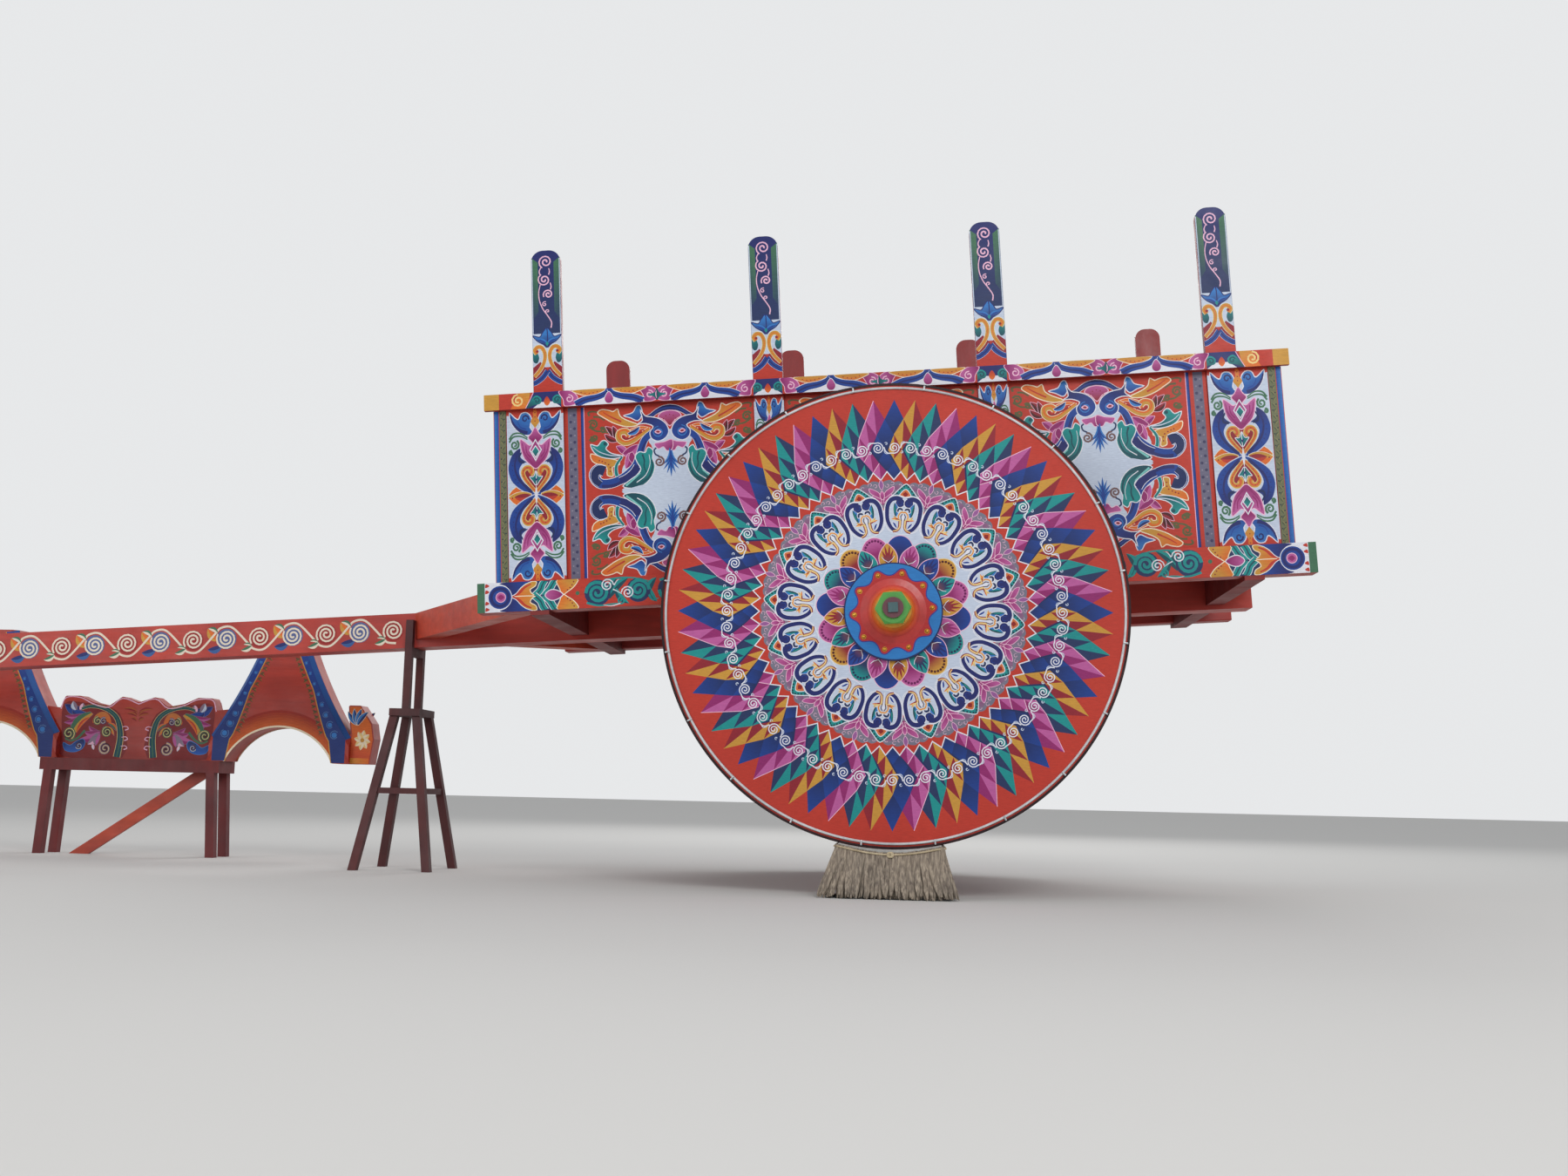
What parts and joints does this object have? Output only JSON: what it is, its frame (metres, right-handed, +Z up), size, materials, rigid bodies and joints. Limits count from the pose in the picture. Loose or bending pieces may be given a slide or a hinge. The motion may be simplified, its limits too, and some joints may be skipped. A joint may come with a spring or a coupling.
{
  "type": "bullock cart",
  "caption": "Painted two-wheeled bullock cart with solid disc wheels, box body, stakes and pole, parked on plinths and a trestle, its yoke on a table.",
  "frame": {"origin": "on the floor, at the middle of the overall length and width", "axes": "+X to the rear of the cart (the pole points to -X), +Y to the cart's right side, +Z up"},
  "size_m": [12.0688, 4.268, 4.6518],
  "materials": {
    "painted_wheel": "painted, satin",
    "iron_tyre": "forged, weathered",
    "painted_hub": "gloss paint",
    "painted_boss": "gloss paint",
    "nut_paint": "gloss paint",
    "axle_paint": "painted, worn",
    "painted_body": "painted, satin",
    "inner_red": "painted, satin",
    "floor_wood": "painted, worn",
    "painted_rail": "painted, satin",
    "painted_stake": "painted, satin",
    "painted_pole": "painted, satin",
    "stand_paint": "painted, flat",
    "plinth_block": "bound palm leaf over a block",
    "light_tube": "clear flexible tube",
    "yoke_paint": "gloss paint"
  },
  "bodies": {
    "cart": {"axle": "axle_paint", "axle_nut_left": "nut_paint", "axle_nut_right": "nut_paint", "bearers": "inner_red", "bench_brace": "stand_paint", "bench_legs": "stand_paint", "bench_top": "stand_paint", "bolster_left": "inner_red", "bolster_right": "inner_red", "corner_boards_left": "painted_body", "corner_boards_right": "painted_body", "floor": "floor_wood", "fork_arm_left": "painted_pole", "fork_arm_right": "painted_pole", "front_board": "inner_red", "plinth_left": "plinth_block", "plinth_right": "plinth_block", "pole": "painted_pole", "side_panel_left": "painted_body", "side_panel_right": "painted_body", "sill_left": "painted_body", "sill_right": "painted_body", "stakes_left": "painted_stake", "stakes_right": "painted_stake", "tailboard_cleats": "inner_red", "top_rail_left": "painted_rail", "top_rail_right": "painted_rail", "trestle_cap": "stand_paint", "trestle_legs": "stand_paint", "trestle_posts": "stand_paint", "trestle_saddle": "stand_paint", "trestle_stretchers": "stand_paint", "yoke": "yoke_paint"},
    "wheel_left": {"wheel_disc_left": "painted_wheel", "tyre_left": "iron_tyre", "hub_plate_left": "painted_hub", "hub_nose_left": "painted_boss", "hub_back_left": "painted_boss", "rim_tube_left": "light_tube"},
    "wheel_right": {"wheel_disc_right": "painted_wheel", "tyre_right": "iron_tyre", "hub_plate_right": "painted_hub", "hub_nose_right": "painted_boss", "hub_back_right": "painted_boss", "rim_tube_right": "light_tube"},
    "tailboard": {"tailboard": "inner_red"}
  },
  "joints": [
    {"name": "wheel_spin_left", "type": "hinge", "parent": "cart", "child": "wheel_left", "pos_m": [3.27077, -1.79, 1.8], "axis": [0, 1, 0], "continuous": true},
    {"name": "wheel_spin_right", "type": "hinge", "parent": "cart", "child": "wheel_right", "pos_m": [3.27077, 1.79, 1.8], "axis": [0, 1, 0], "continuous": true},
    {"name": "tailboard_lift", "type": "slide", "parent": "cart", "child": "tailboard", "axis": [-0.0628, 0, 0.998], "range_m": [0, 1.15]}
  ]
}
